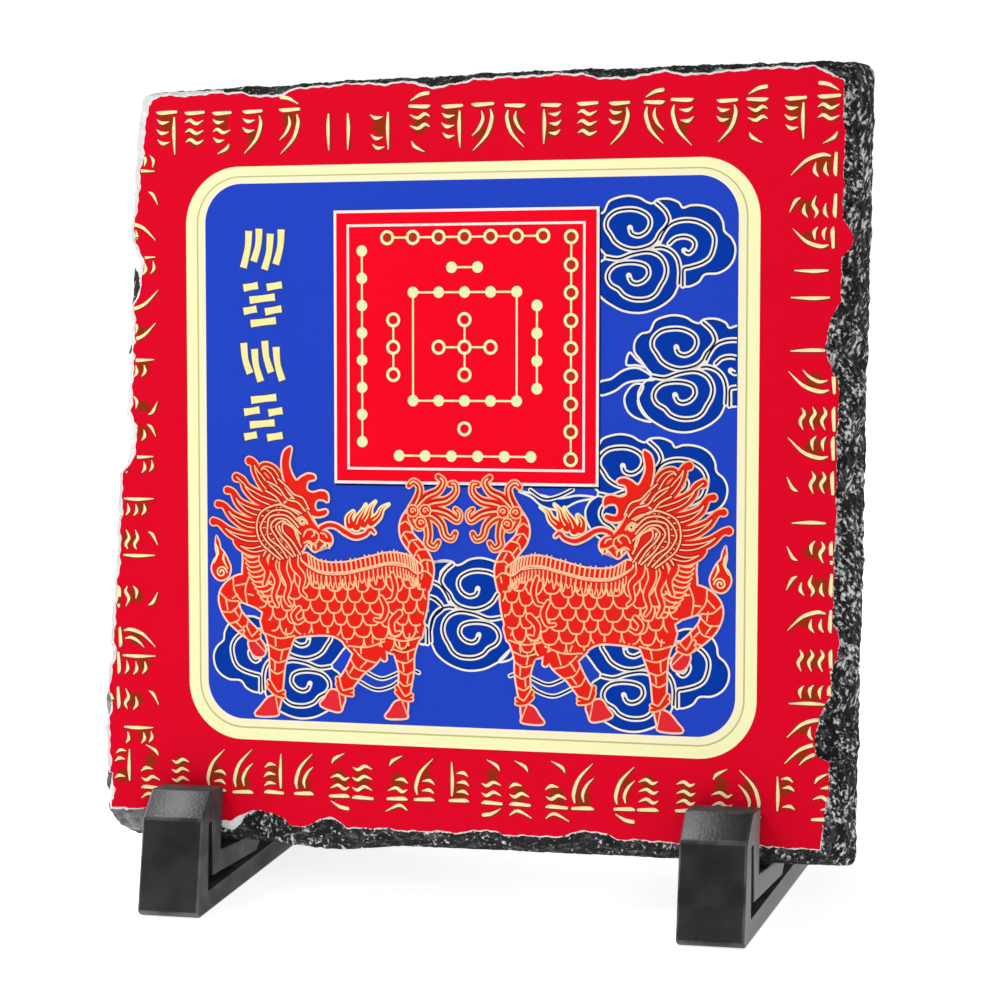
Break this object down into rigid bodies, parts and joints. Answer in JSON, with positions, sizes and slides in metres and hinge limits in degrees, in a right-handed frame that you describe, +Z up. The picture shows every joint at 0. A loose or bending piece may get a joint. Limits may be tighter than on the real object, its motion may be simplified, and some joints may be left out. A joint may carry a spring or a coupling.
{
  "type": "feng shui plaque",
  "caption": "Square natural slate plaque with a printed face and rough broken edges, leaning back in a pair of moulded plastic easel feet.",
  "frame": {"origin": "on the ground, under the middle of the bounding box", "axes": "+Z up, the printed face towards -Y and leaning back towards +Y, +X to the viewer's right"},
  "size_m": [0.15, 0.0668, 0.1545],
  "materials": {
    "slate": "matte",
    "moulded_plastic": "satin",
    "printed_coating": "satin"
  },
  "bodies": {
    "root": {"slate_slab": "slate", "left_foot": "moulded_plastic", "right_foot": "moulded_plastic"}
  },
  "joints": []
}
